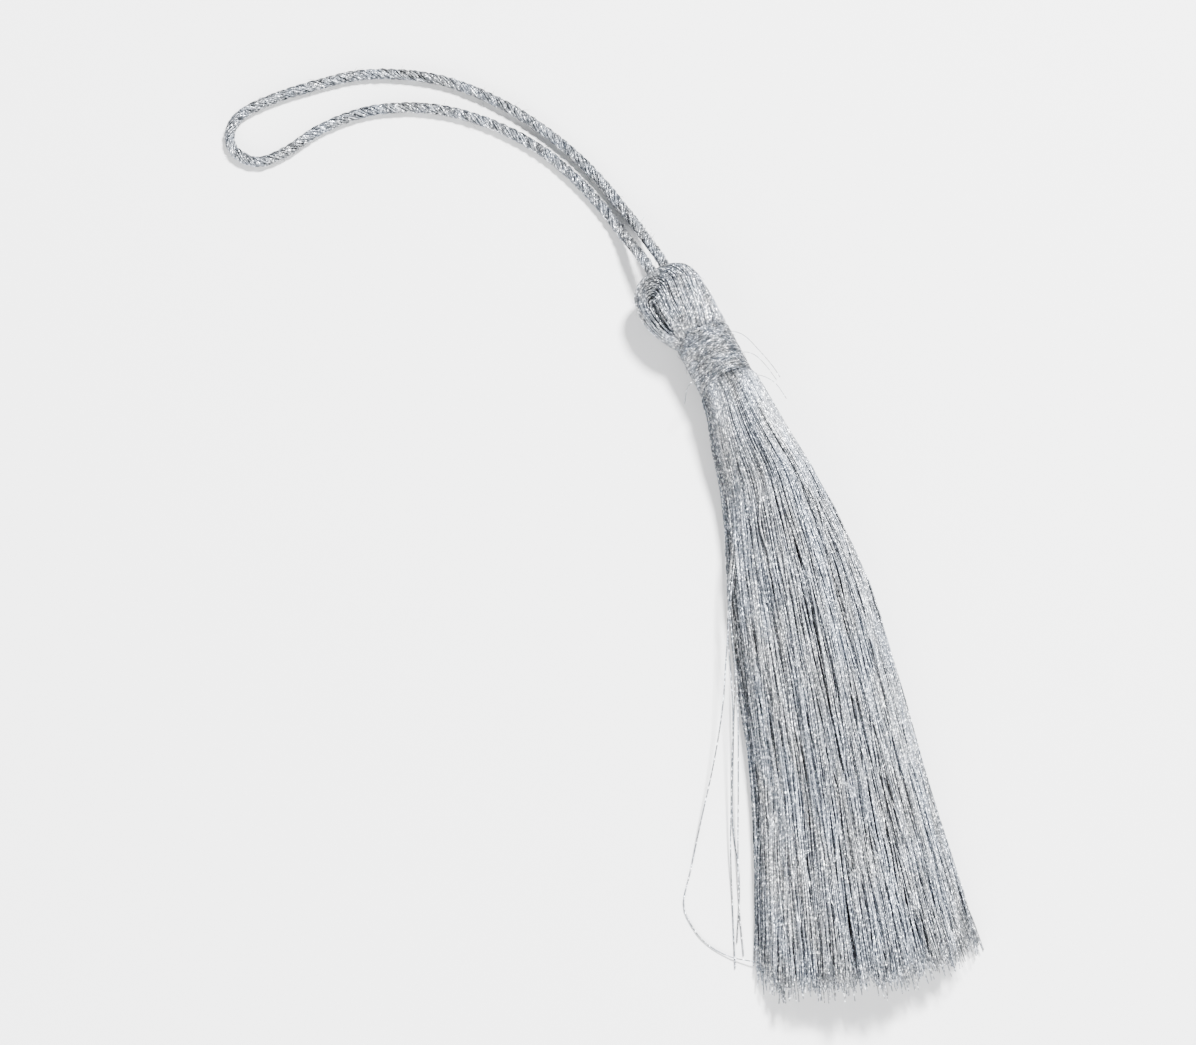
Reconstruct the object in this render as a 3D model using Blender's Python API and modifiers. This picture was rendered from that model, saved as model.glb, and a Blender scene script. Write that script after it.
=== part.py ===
"""Silk tassel of metallic yarn, lying on a flat surface: 90 mm long without its hanging loop.

Three pieces: the yarn hank (head, neck and skirt of thread locks), the wound neck binding and the
twisted hanging loop. Metres, +Z up. The skirt points to -Y, the crown to +Y and the surface is z = 0.
"""

import math
import random
from collections import namedtuple

import bmesh
import bpy
from mathutils import Matrix, Vector

MM = 0.001
GAP = 0.3 * MM
WELD = 0.01 * MM  # points nearer than this are joined
SEED = 11

# The neck: the middle of the binding, and the lean of the head and neck away from the skirt's line.
NECK_HEIGHT = 3.45 * MM
NECK = Vector((-1.9 * MM, 32.3 * MM, NECK_HEIGHT))
HEAD_LEAN = math.radians(14)
UP_THE_HEAD = Vector((-math.sin(HEAD_LEAN), math.cos(HEAD_LEAN), 0))
ACROSS_THE_HEAD = Vector((math.cos(HEAD_LEAN), math.sin(HEAD_LEAN), 0))

# The binding: thread wound over the neck in a ridged sleeve.
BINDING_LENGTH = 6.6 * MM
BINDING_RADIUS = 3.3 * MM
BINDING_BORE = 2.8 * MM
BINDING_RIDGES = 8
RIDGE_DEPTH = 0.13 * MM
BINDING_STEPS = 30
NECK_RADIUS = BINDING_BORE - GAP
HALF_BINDING = BINDING_LENGTH / 2 + GAP

# The skirt's locks: columns lie across it and rows lie above each other.
COLUMNS = 22
ROWS = 9
SHOULDER_LENGTH = 1.5 * MM
ROOT_CLEARANCE = 0.1 * MM  # between the root's underside and the surface
CORNER_PULL = 0.44  # how far the root's section is drawn from a square towards a circle
SIDE_LEAN = 0.18  # how far the skirt's sides lean in towards its top
SIDE_DROP = 0.5  # how much lower the skirt is at its sides than in its middle
CLUMPS = 3.2  # clumps of locks across the skirt
CLUMP_SLANT = 0.9  # how far the clumps shift sideways from the bottom to the top, in half clumps
CLUMP_DIP = 0.1  # how far the top sinks between two clumps
LENGTH_SPREAD = 0.9 * MM
LEFT_END_SHORT = 2.0 * MM
RIGHT_END_SHORT = 3.5 * MM

# One row for each level of the skirt: how far it is below the root, the middle and half of its
# width, its height, how far its section has changed from the round root to the flat-bottomed fan,
# how strongly its locks clump, and the share of its cell that a lock fills.
Level = namedtuple("Level", "below middle half_width height fanned clumped filled")
LEVELS = (
    Level(0 * MM, -0.67 * MM, 3.35 * MM, 6.7 * MM, 0.0, 0.0, 1.0),
    Level(5 * MM, 0.05 * MM, 4.55 * MM, 7.2 * MM, 0.45, 0.1, 0.86),
    Level(13.5 * MM, 1.5 * MM, 6.1 * MM, 7.7 * MM, 0.9, 0.25, 0.8),
    Level(26 * MM, 1.8 * MM, 8.2 * MM, 7.8 * MM, 1.0, 0.4, 0.77),
    Level(46 * MM, 1.4 * MM, 9.6 * MM, 7.3 * MM, 1.0, 0.5, 0.74),
    Level(71.6 * MM, 0.0 * MM, 12.9 * MM, 6.2 * MM, 1.0, 0.5, 0.62),
)

# The body's rings from the root up to the dimple in the crown: place along the head's line from the
# neck's middle, shift to the side, half width, half height, depth of the grooves between thread
# ribs, and height of the ring's middle. The head bulges to one side of the neck.
Ring = namedtuple("Ring", "along aside half_width half_height rib middle_height")
HEAD_HEIGHT = 3.68 * MM
FLAT_DEPTH = 0.1 * MM  # the head is flat where it would come this near to the surface
BODY_RINGS = (
    Ring(-HALF_BINDING - 0.75 * MM, 0.0 * MM, 3.3 * MM, 3.3 * MM, 0.06 * MM, NECK_HEIGHT),
    Ring(-HALF_BINDING, 0.0 * MM, 2.65 * MM, 2.65 * MM, 0.0 * MM, NECK_HEIGHT),
    Ring(-HALF_BINDING + GAP, 0.0 * MM, NECK_RADIUS, NECK_RADIUS, 0.0 * MM, NECK_HEIGHT),
    Ring(HALF_BINDING - GAP, 0.0 * MM, NECK_RADIUS, NECK_RADIUS, 0.0 * MM, NECK_HEIGHT),
    Ring(HALF_BINDING, 0.0 * MM, 2.65 * MM, 2.65 * MM, 0.0 * MM, NECK_HEIGHT),
    Ring(4.2 * MM, -0.25 * MM, 3.35 * MM, 3.25 * MM, 0.12 * MM, 3.55 * MM),
    Ring(5.8 * MM, -0.75 * MM, 3.9 * MM, 3.62 * MM, 0.16 * MM, HEAD_HEIGHT),
    Ring(7.9 * MM, -1.05 * MM, 4.2 * MM, 3.8 * MM, 0.16 * MM, HEAD_HEIGHT),
    Ring(9.8 * MM, -1.1 * MM, 4.15 * MM, 3.75 * MM, 0.16 * MM, HEAD_HEIGHT),
    Ring(11.2 * MM, -1.0 * MM, 3.75 * MM, 3.45 * MM, 0.14 * MM, HEAD_HEIGHT),
    Ring(12.2 * MM, -0.95 * MM, 3.05 * MM, 2.9 * MM, 0.12 * MM, HEAD_HEIGHT),
    Ring(12.6 * MM, -0.9 * MM, 2.35 * MM, 2.3 * MM, 0.08 * MM, HEAD_HEIGHT),
    Ring(12.0 * MM, -0.9 * MM, 1.95 * MM, 1.95 * MM, 0.0 * MM, HEAD_HEIGHT),
)

# The hanging loop: a two-ply cord. Its route goes out of the dimple along one leg, round the eye
# and back along the other leg.
CORD_RADIUS = 0.66 * MM
CORD_LAY = 2.4 * MM  # along the cord for one whole turn of a ply
STEPS_IN_A_LAY = 6
CORD_SIDE_POINTS = 8
GROOVE_DEPTH = 0.32  # of the cord's radius
CURVE_STEPS = 24  # of the smooth curve between two points of the route
ROUTE_IN_MM = (
    (-6.6, 43.8, 3.7),
    (-7.05, 45.9, 3.6),
    (-7.8, 48.3, 2.7),
    (-8.7, 51.2, 1.45),
    (-9.8, 54.3, 0.8),
    (-12.4, 59.4, 0.7),
    (-16.2, 64.7, 0.7),
    (-21.5, 69.3, 0.7),
    (-27.7, 72.4, 0.7),
    (-34.3, 73.4, 0.7),
    (-40.4, 72.2, 0.7),
    (-45.2, 69.9, 0.7),
    (-48.4, 69.2, 0.7),
    (-50.7, 70.6, 0.7),
    (-51.3, 73.0, 0.7),
    (-50.1, 75.3, 0.7),
    (-47.2, 76.7, 0.7),
    (-41.9, 77.8, 0.7),
    (-34.1, 78.3, 0.7),
    (-26.2, 76.1, 0.7),
    (-19.8, 71.8, 0.7),
    (-14.5, 66.2, 0.7),
    (-10.6, 60.4, 0.7),
    (-8.1, 55.1, 0.8),
    (-6.9, 51.9, 1.45),
    (-6.1, 48.9, 2.65),
    (-5.4, 46.4, 3.55),
    (-4.9, 44.2, 3.7),
)

SHARP_ANGLE = math.radians(50)


def clear_scene():
    for obj in list(bpy.data.objects):
        bpy.data.objects.remove(obj, do_unlink=True)


def new_collection(name):
    collection = bpy.data.collections.new(name)
    bpy.context.scene.collection.children.link(collection)
    return collection


def yarn_material(name, colour, roughness, metallic):
    material = bpy.data.materials.new(name)
    material.use_nodes = True
    shader = material.node_tree.nodes["Principled BSDF"]
    shader.inputs["Base Color"].default_value = (*colour, 1.0)
    shader.inputs["Roughness"].default_value = roughness
    shader.inputs["Metallic"].default_value = metallic
    return material


def smooth_step(x):
    x = min(max(x, 0.0), 1.0)
    return x * x * (3.0 - 2.0 * x)


# --- Yarn hank -----------------------------------------------------------------------------------


def level_at(below):
    """The skirt's level this far below its root, carried on past the last row at the same spread."""
    for upper, lower in zip(LEVELS, LEVELS[1:]):
        if below <= lower.below:
            break
    share = (below - upper.below) / (lower.below - upper.below)
    return Level(*(a + (b - a) * share for a, b in zip(upper, lower)))


def skirt_point(u, v, below):
    """Where the thread at (u, v) of the root's section passes: u across and v up, both -1 to 1."""
    level = level_at(below)
    wave = math.pi * (CLUMPS * u + CLUMP_SLANT * v)
    u = u + level.clumped * math.sin(wave) * (1.0 - u * u) / (math.pi * CLUMPS)
    up_share = (v + 1.0) / 2.0
    round_width = math.sqrt(1.0 - CORNER_PULL * v * v)
    fan_width = 1.0 - SIDE_LEAN * up_share * up_share
    across = level.half_width * u * (round_width + (fan_width - round_width) * level.fanned)
    round_rise = v * math.sqrt(1.0 - CORNER_PULL * u * u)
    round_height = ROOT_CLEARANCE + level.height / 2.0 * (1.0 + round_rise)
    dip = 1.0 - CLUMP_DIP * level.clumped * (1.0 - math.cos(wave))
    fan_height = level.height * up_share * (1.0 - SIDE_DROP * u * u) * dip
    height = round_height + (fan_height - round_height) * level.fanned
    root = NECK - UP_THE_HEAD * (HALF_BINDING + SHOULDER_LENGTH)
    lean = HEAD_LEAN * (1.0 - smooth_step(level.fanned))
    sideways = Vector((math.cos(lean), math.sin(lean), 0))
    middle = Vector((level.middle, root.y - below, 0))
    return middle + sideways * across + Vector((0, 0, height))


def lock_end(u, chance):
    """How far below the root a lock ends: the cut end slants up at both sides."""
    short = LEFT_END_SHORT * max(-u, 0.0) ** 2 + RIGHT_END_SHORT * max(u, 0.0) ** 2
    return LEVELS[-1].below - short + chance.uniform(-LENGTH_SPREAD, LENGTH_SPREAD)


def draw_in(corner, centre, filled, on_floor):
    """A lock's corner moved towards its cell's middle, except down from the surface it lies on."""
    u = centre[0] + (corner[0] - centre[0]) * filled
    v = centre[1] + (corner[1] - centre[1]) * filled
    if on_floor and corner[1] < centre[1]:
        v = corner[1]
    return u, v


def grow_locks(mesh):
    """Extrudes each cell of the root's grid into a lock, level by level, and puts it in its place."""
    chance = random.Random(SEED)
    grid = {vertex: (vertex.co.x, vertex.co.y) for vertex in mesh.verts}
    for cell in list(mesh.faces):
        centre = tuple(cell.calc_center_median())[:2]
        on_floor = centre[1] < -1.0 + 2.0 / ROWS
        end = lock_end(centre[0], chance)
        corners = [grid[vertex] for vertex in cell.verts]
        for level in LEVELS[1:]:
            below = end if level is LEVELS[-1] else level.below
            cell = bmesh.ops.extrude_discrete_faces(mesh, faces=[cell])["faces"][0]
            for vertex, corner in zip(cell.verts, corners):
                u, v = draw_in(corner, centre, level.filled, on_floor)
                vertex.co = skirt_point(u, v, below)
    for vertex, (u, v) in grid.items():
        vertex.co = skirt_point(u, v, 0.0)


def ring_point(ring, angle, groove):
    """A point of a body ring. The head has a small flat spot where it lies on the surface."""
    across = ring.aside + (ring.half_width - groove * ring.rib) * math.cos(angle)
    point = NECK + UP_THE_HEAD * ring.along + ACROSS_THE_HEAD * across
    point.z = ring.middle_height + (ring.half_height - groove * ring.rib) * math.sin(angle)
    if ring.middle_height + ring.half_height * math.sin(angle) < FLAT_DEPTH:
        point.z = 0.0
    return point


def angle_round(vertex):
    """The vertex's angle round the line of the neck and head."""
    offset = vertex.co - NECK
    return math.atan2(offset.z, offset.dot(ACROSS_THE_HEAD))


def points_in_order(edge_loop):
    return sorted({vertex for edge in edge_loop for vertex in edge.verts}, key=angle_round)


def grow_body(mesh):
    """Extrudes the root's edge up round the neck and the head, and closes it with the dimple."""
    edge_loop = [edge for edge in mesh.edges if edge.is_boundary]
    angles = [angle_round(vertex) for vertex in points_in_order(edge_loop)]
    for ring in BODY_RINGS:
        made = bmesh.ops.extrude_edge_only(mesh, edges=edge_loop)["geom"]
        edges = [item for item in made if isinstance(item, bmesh.types.BMEdge)]
        edge_loop = [edge for edge in edges if edge.is_boundary]
        for index, vertex in enumerate(points_in_order(edge_loop)):
            vertex.co = ring_point(ring, angles[index], index % 2)
    bmesh.ops.edgeloop_fill(mesh, edges=edge_loop)


def make_yarn_hank(collection, material):
    mesh = bmesh.new()
    bmesh.ops.create_grid(mesh, x_segments=COLUMNS, y_segments=ROWS, size=1.0)
    grow_locks(mesh)
    grow_body(mesh)
    bmesh.ops.recalc_face_normals(mesh, faces=mesh.faces)
    data = bpy.data.meshes.new("yarn_hank")
    mesh.to_mesh(data)
    mesh.free()
    data.shade_smooth()
    data.set_sharp_from_angle(angle=SHARP_ANGLE)
    data.materials.append(material)
    hank = bpy.data.objects.new("yarn_hank", data)
    collection.objects.link(hank)
    return hank


# --- Neck binding --------------------------------------------------------------------------------


def binding_profile():
    """Half of the sleeve's section, from its top down the ridged outer side and up the bore."""
    half = BINDING_LENGTH / 2.0
    pitch = BINDING_LENGTH / BINDING_RIDGES
    outer = [(BINDING_RADIUS - RIDGE_DEPTH, half)]
    for ridge in range(BINDING_RIDGES):
        top = half - ridge * pitch
        outer.append((BINDING_RADIUS, top - pitch / 2.0))
        outer.append((BINDING_RADIUS - RIDGE_DEPTH, top - pitch))
    return outer + [(BINDING_BORE, -half), (BINDING_BORE, half)]


def make_neck_binding(collection, material):
    profile = [(x, 0.0, z) for x, z in binding_profile()]
    edges = [(i, (i + 1) % len(profile)) for i in range(len(profile))]
    data = bpy.data.meshes.new("neck_binding")
    data.from_pydata(profile, edges, [])
    data.materials.append(material)
    binding = bpy.data.objects.new("neck_binding", data)
    collection.objects.link(binding)
    turn = binding.modifiers.new("Wound round the neck", "SCREW")
    turn.axis = "Z"
    turn.angle = 2.0 * math.pi
    turn.steps = BINDING_STEPS
    turn.render_steps = BINDING_STEPS
    turn.use_merge_vertices = True
    turn.merge_threshold = WELD
    turn.use_smooth_shade = True
    along_the_neck = UP_THE_HEAD.to_track_quat("Z", "Y").to_matrix().to_4x4()
    binding.matrix_world = Matrix.Translation(NECK) @ along_the_neck
    return binding


# --- Hanging loop --------------------------------------------------------------------------------


def smooth_route(points, spacing):
    """Evenly spaced points of the smooth curve through the route's own points."""
    ends = [points[0] * 2.0 - points[1]] + points + [points[-1] * 2.0 - points[-2]]
    curve = []
    for a, b, c, d in zip(ends, ends[1:], ends[2:], ends[3:]):
        for step in range(CURVE_STEPS):
            t = step / CURVE_STEPS
            bend = 2.0 * a - 5.0 * b + 4.0 * c - d
            rest = 3.0 * (b - c) + d - a
            curve.append(b + ((c - a) * t + bend * t * t + rest * t * t * t) / 2.0)
    curve.append(points[-1])
    along = [0.0]
    for start, end in zip(curve, curve[1:]):
        along.append(along[-1] + (end - start).length)
    count = round(along[-1] / spacing)
    even = []
    place = 0
    for index in range(count + 1):
        target = along[-1] * index / count
        while place < len(curve) - 2 and along[place + 1] < target:
            place += 1
        share = (target - along[place]) / (along[place + 1] - along[place])
        even.append(curve[place].lerp(curve[place + 1], share))
    return even


def make_tube(points):
    """A plain round tube along the points, with filled caps."""
    curve = bpy.data.curves.new("cord_tube", "CURVE")
    curve.dimensions = "3D"
    curve.bevel_depth = CORD_RADIUS
    curve.bevel_resolution = CORD_SIDE_POINTS // 2 - 2
    curve.use_fill_caps = True
    spline = curve.splines.new("POLY")
    spline.points.add(len(points) - 1)
    for spline_point, place in zip(spline.points, points):
        spline_point.co = (*place, 1.0)
    return bpy.data.objects.new("cord_tube", curve)


def make_hanging_loop(collection, material):
    """The tube as a mesh, with the grooves between its two plies sunk, except at its ends."""
    route = [Vector(place) * MM for place in ROUTE_IN_MM]
    points = smooth_route(route, CORD_LAY / STEPS_IN_A_LAY)
    tube = make_tube(points)
    collection.objects.link(tube)
    bpy.context.view_layer.update()
    graph = bpy.context.evaluated_depsgraph_get()
    data = bpy.data.meshes.new_from_object(tube.evaluated_get(graph))
    data.name = "hanging_loop"
    caps = len(data.vertices) - len(points) * CORD_SIDE_POINTS  # their own points come first
    for index, place in list(enumerate(points))[1:-1]:
        turn = 2.0 * math.pi * index / STEPS_IN_A_LAY
        for side in range(CORD_SIDE_POINTS):
            vertex = data.vertices[caps + index * CORD_SIDE_POINTS + side]
            angle = 2.0 * math.pi * side / CORD_SIDE_POINTS
            sunk = GROOVE_DEPTH * (1.0 - math.cos(2.0 * (angle - turn))) / 2.0
            vertex.co = place + (vertex.co - place) * (1.0 - sunk)
    welded = bmesh.new()
    welded.from_mesh(data)
    bmesh.ops.remove_doubles(welded, verts=welded.verts, dist=WELD)
    bmesh.ops.recalc_face_normals(welded, faces=welded.faces)
    welded.to_mesh(data)
    welded.free()
    data.shade_smooth()
    data.materials.clear()
    data.materials.append(material)
    loop = bpy.data.objects.new("hanging_loop", data)
    loop.matrix_world = tube.matrix_world
    collection.objects.link(loop)
    bpy.data.objects.remove(tube, do_unlink=True)
    return loop


def main():
    clear_scene()
    tassel = new_collection("Silk tassel")
    yarn = yarn_material("Silver metallic yarn", (0.50, 0.53, 0.56), 0.42, 0.85)
    binding = yarn_material("Silver binding thread", (0.44, 0.47, 0.50), 0.45, 0.85)
    cord = yarn_material("Silver twisted cord", (0.53, 0.56, 0.59), 0.38, 0.85)
    make_yarn_hank(tassel, yarn)
    make_neck_binding(tassel, binding)
    make_hanging_loop(tassel, cord)


main()
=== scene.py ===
"""Silk tassel of silver metallic thread: its threads, wound neck and twisted hanging loop.

The tassel lies on z = 0, with its skirt to -Y and its crown to +Y. Tables and shapes are in
millimetres, and become metres when a mesh is made. The settings and the stage are in metres.
"""

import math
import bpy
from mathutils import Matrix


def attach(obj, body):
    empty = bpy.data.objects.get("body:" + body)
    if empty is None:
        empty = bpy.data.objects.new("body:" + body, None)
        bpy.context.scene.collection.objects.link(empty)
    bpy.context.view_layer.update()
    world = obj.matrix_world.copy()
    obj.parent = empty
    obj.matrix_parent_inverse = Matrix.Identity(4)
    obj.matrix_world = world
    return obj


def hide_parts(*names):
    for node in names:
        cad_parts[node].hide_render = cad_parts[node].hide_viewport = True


bl_info = {
    "name": "Silk tassel",
    "version": (1, 0, 0),
    "blender": (4, 5, 0),
    "location": "3D View > Sidebar > Tassel",
    "description": "Threads, neck binding and hanging loop of a metallic silk tassel",
    "category": "Add Mesh",
}

from collections import namedtuple

import bpy
import numpy as np
from bpy.props import FloatProperty, FloatVectorProperty, IntProperty, PointerProperty
from mathutils import Vector

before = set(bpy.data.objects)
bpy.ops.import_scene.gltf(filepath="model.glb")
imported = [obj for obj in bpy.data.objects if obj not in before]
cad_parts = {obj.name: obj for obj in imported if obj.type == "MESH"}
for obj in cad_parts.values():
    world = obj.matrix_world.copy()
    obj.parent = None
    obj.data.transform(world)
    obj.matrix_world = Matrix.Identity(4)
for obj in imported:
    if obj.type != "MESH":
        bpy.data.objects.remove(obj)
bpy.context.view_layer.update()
MM = 0.001

# The neck: the middle of the binding, and the line of the neck and head.
NECK = np.array((-1.9, 32.3, 3.45))
HEAD_LEAN = math.radians(14)
UP_THE_HEAD = np.array((-math.sin(HEAD_LEAN), math.cos(HEAD_LEAN), 0.0))
ACROSS_THE_HEAD = np.array((math.cos(HEAD_LEAN), math.sin(HEAD_LEAN), 0.0))
ROOT_BELOW_NECK = 5.1
HALF_BINDING = 3.3

# The skirt, row by row: how far below its root, its middle, half width and height, and how far its
# section has changed from the round neck to the flat-bottomed fan.
SKIRT_TABLE = np.array((
    (-4.5, -1.75, 2.5, 5.0, 0.0),
    (-2.3, -1.23, 2.6, 5.2, 0.0),
    (-1.85, -1.12, 2.95, 5.85, 0.0),
    (-1.55, -1.05, 3.3, 6.45, 0.0),
    (-1.1, -0.94, 3.5, 6.75, 0.0),
    (-0.4, -0.77, 3.6, 6.9, 0.02),
    (0.6, -0.6, 3.68, 6.95, 0.08),
    (5.0, 0.05, 4.55, 7.2, 0.45),
    (13.5, 1.5, 6.1, 7.7, 0.9),
    (26.0, 1.8, 8.2, 7.8, 1.0),
    (46.0, 1.4, 9.6, 7.3, 1.0),
    (62.0, 0.55, 11.6, 6.6, 1.0),
    (71.6, 0.0, 12.9, 6.2, 1.0),
    (76.0, -0.3, 13.5, 6.0, 1.0),
))
SKIRT_LENGTH = 71.6
# How far the round section is drawn in at its corners, and how far the fan's sides lean in and its
# top drops to the sides.
CORNER_PULL = 0.46
SIDE_LEAN = 0.18
SIDE_DROP = 0.5

# The head, row by row: place along its line from the neck's middle, shift to the side, half width,
# half height and the height of its middle.
HEAD_TABLE = np.array((
    (1.0, 0.0, 2.5, 2.5, 3.45),
    (2.9, 0.0, 2.55, 2.55, 3.45),
    (3.3, -0.02, 2.95, 2.95, 3.46),
    (3.7, -0.12, 3.3, 3.25, 3.5),
    (4.4, -0.35, 3.6, 3.42, 3.58),
    (5.8, -0.75, 3.9, 3.62, 3.68),
    (7.9, -1.05, 4.2, 3.8, 3.68),
    (8.8, -1.1, 4.2, 3.8, 3.68),
    (14.0, -0.95, 4.2, 3.8, 3.68),
))
# The dome over the crown: where it starts along the head, how high it rises, and the two powers of
# its outline.
DOME_START = 7.9
DOME_RISE = 4.8
DOME_SQUARENESS = 3.7
DOME_BEND = 1.0 / 2.8

# The hanging loop's route: the same points as in the part's source.
CORD_ROUTE = np.array((
    (-6.6, 43.8, 3.7), (-7.05, 45.9, 3.6), (-7.8, 48.3, 2.7), (-8.7, 51.2, 1.45),
    (-9.8, 54.3, 0.8), (-12.4, 59.4, 0.7), (-16.2, 64.7, 0.7), (-21.5, 69.3, 0.7),
    (-27.7, 72.4, 0.7), (-34.3, 73.4, 0.7), (-40.4, 72.2, 0.7), (-45.2, 69.9, 0.7),
    (-48.4, 69.2, 0.7), (-50.7, 70.6, 0.7), (-51.3, 73.0, 0.7), (-50.1, 75.3, 0.7),
    (-47.2, 76.7, 0.7), (-41.9, 77.8, 0.7), (-34.1, 78.3, 0.7), (-26.2, 76.1, 0.7),
    (-19.8, 71.8, 0.7), (-14.5, 66.2, 0.7), (-10.6, 60.4, 0.7), (-8.1, 55.1, 0.8),
    (-6.9, 51.9, 1.45), (-6.1, 48.9, 2.65), (-5.4, 46.4, 3.55), (-4.9, 44.2, 3.7),
))

# Long threads that have left the skirt's left side and lie on the surface beside it.
STRAY_ROUTES = (
    ((-3.2, 12.0, 4.6), (-5.6, 4.5, 4.0), (-7.8, -3.2, 3.2), (-9.5, -9.4, 2.6), (-11.7, -15.4, 1.8),
     (-14.3, -21.4, 0.9), (-16.5, -26.6, 0.25), (-18.1, -30.4, 0.12), (-17.8, -32.9, 0.12),
     (-16.7, -35.3, 0.12), (-14.5, -37.4, 0.25), (-11.7, -38.8, 0.7)),
    ((-3.0, 14.0, 4.2), (-5.0, 7.5, 4.2), (-7.0, 0.0, 3.3), (-8.4, -9.6, 2.6), (-10.1, -17.4, 1.6),
     (-11.8, -25.2, 0.7), (-12.9, -31.6, 0.15), (-14.1, -38.9, 0.12)),
    ((-2.6, 16.0, 3.8), (-4.4, 9.5, 3.9), (-6.2, 3.1, 3.5), (-7.6, -8.2, 2.6), (-9.4, -17.6, 1.7),
     (-11.0, -25.3, 0.8), (-12.2, -31.8, 0.15), (-12.9, -37.6, 0.12)),
    ((-2.8, 13.0, 2.2), (-5.3, 4.0, 1.9), (-7.4, -6.0, 1.4), (-9.2, -14.0, 0.7), (-10.9, -22.0, 0.2),
     (-11.6, -29.0, 0.12), (-13.3, -36.0, 0.12)),
)
# Short fibre ends that stand off the neck and the shoulder.
FLYAWAY_ROUTES = (
    ((-0.6, 34.6, 5.6), (0.6, 34.4, 5.9), (1.8, 33.5, 6.0), (3.0, 31.8, 5.5), (4.2, 29.9, 4.8),
     (4.9, 28.6, 4.0)),
    ((-0.4, 31.6, 5.6), (1.2, 31.6, 5.9), (2.4, 31.0, 5.9), (3.5, 29.7, 5.2), (4.4, 28.2, 4.3)),
    ((-0.8, 27.4, 5.9), (0.9, 27.9, 6.7), (2.4, 28.0, 6.6), (4.0, 27.2, 5.6), (5.0, 25.6, 4.4)),
    ((-3.6, 29.8, 4.6), (-4.8, 29.6, 5.0), (-5.8, 28.8, 4.8), (-6.4, 27.4, 4.0)),
)


# --- Settings ------------------------------------------------------------------------------------


class TasselThreadSettings(bpy.types.PropertyGroup):
    """The metallic thread that every part of the tassel is made of."""

    thickness: FloatProperty(
        name="Thickness", description="Diameter of one thread", default=0.18 * MM,
        unit="LENGTH", precision=5)
    # Colour is the thread's silver, painted brightest as glints on its dashes; shade is the darker
    # silver between them, painted shade; dash length is one painted glint's length.
    colour: FloatVectorProperty(
        name="Colour", description="Silver of the thread's bright side", subtype="COLOR",
        size=3, min=0.0, max=1.0, default=(0.87, 0.9, 0.94))
    shade: FloatVectorProperty(
        name="Shade", description="Darker silver between the thread's bright dashes",
        subtype="COLOR", size=3, min=0.0, max=1.0, default=(0.13, 0.142, 0.157))
    dash_length: FloatProperty(
        name="Dash length", description="Length of a bright dash along a thread",
        default=0.35 * MM, unit="LENGTH", precision=5)


class TasselSkirtSettings(bpy.types.PropertyGroup):
    """The hanging threads below the neck."""

    columns: IntProperty(
        name="Columns", description="Threads side by side in one row of the skirt",
        default=96, min=20, max=120)
    clumping: FloatProperty(
        name="Clumping", description="How strongly the threads gather in locks",
        default=0.8, min=0.0, max=2.0, subtype="FACTOR")
    tufts: IntProperty(
        name="Tufts", description="Pointed tufts across the cut end in one row", default=24,
        min=6, max=60)
    fraying: FloatProperty(
        name="Fraying", description="How unevenly the threads are cut", default=1.0,
        min=0.0, max=3.0, subtype="FACTOR")


class TasselHeadSettings(bpy.types.PropertyGroup):
    """The folded end of the hank above the binding."""

    loops: IntProperty(
        name="Loops", description="Folded threads in one layer of the head", default=62,
        min=20, max=100)
    fold_turn: FloatProperty(
        name="Fold's turn", description="How far the fold's open side is turned from the right",
        default=math.radians(140), subtype="ANGLE")


class TasselBindingSettings(bpy.types.PropertyGroup):
    """The thread wound round the neck."""

    turns: IntProperty(
        name="Turns", description="Turns in each of the two lowest layers", default=36,
        min=10, max=50)


class TasselCordSettings(bpy.types.PropertyGroup):
    """The two-ply cord of the hanging loop."""

    thickness: FloatProperty(
        name="Thickness", description="Diameter of the cord", default=1.32 * MM,
        unit="LENGTH", precision=4)
    lay: FloatProperty(
        name="Lay", description="Length of the cord for one turn of a ply", default=2.4 * MM,
        unit="LENGTH", precision=4)
    threads_in_a_ply: IntProperty(
        name="Threads in a ply", description="Threads round the outside of one ply",
        default=10, min=4, max=12)


class TasselStageSettings(bpy.types.PropertyGroup):
    """The camera, the surface and the light."""

    azimuth: FloatProperty(
        name="Azimuth", description="Camera's direction round the tassel",
        default=math.radians(-11), subtype="ANGLE")
    elevation: FloatProperty(
        name="Elevation", description="Camera's height above the surface",
        default=math.radians(65), subtype="ANGLE")
    distance: FloatProperty(
        name="Distance", description="From the camera to the tassel", default=0.6,
        unit="LENGTH")
    surface_colour: FloatVectorProperty(
        name="Surface", description="Colour of the surface that the tassel lies on",
        subtype="COLOR", size=3, min=0.0, max=1.0, default=(0.77, 0.77, 0.77))


class TasselSettings(bpy.types.PropertyGroup):
    """All of the tassel's settings."""

    thread: PointerProperty(type=TasselThreadSettings)
    skirt: PointerProperty(type=TasselSkirtSettings)
    head: PointerProperty(type=TasselHeadSettings)
    binding: PointerProperty(type=TasselBindingSettings)
    cord: PointerProperty(type=TasselCordSettings)
    stage: PointerProperty(type=TasselStageSettings)


# --- Curves and tubes ----------------------------------------------------------------------------

# Points worked out between two of a route's own points.
STEPS_IN_A_SPAN = 24
# A direction that none of the paths starts in.
ASKEW = (0.31, 0.17, 0.93)
# How far along its pattern of dashes a thread may start.
LONGEST_START = 50.0


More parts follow.
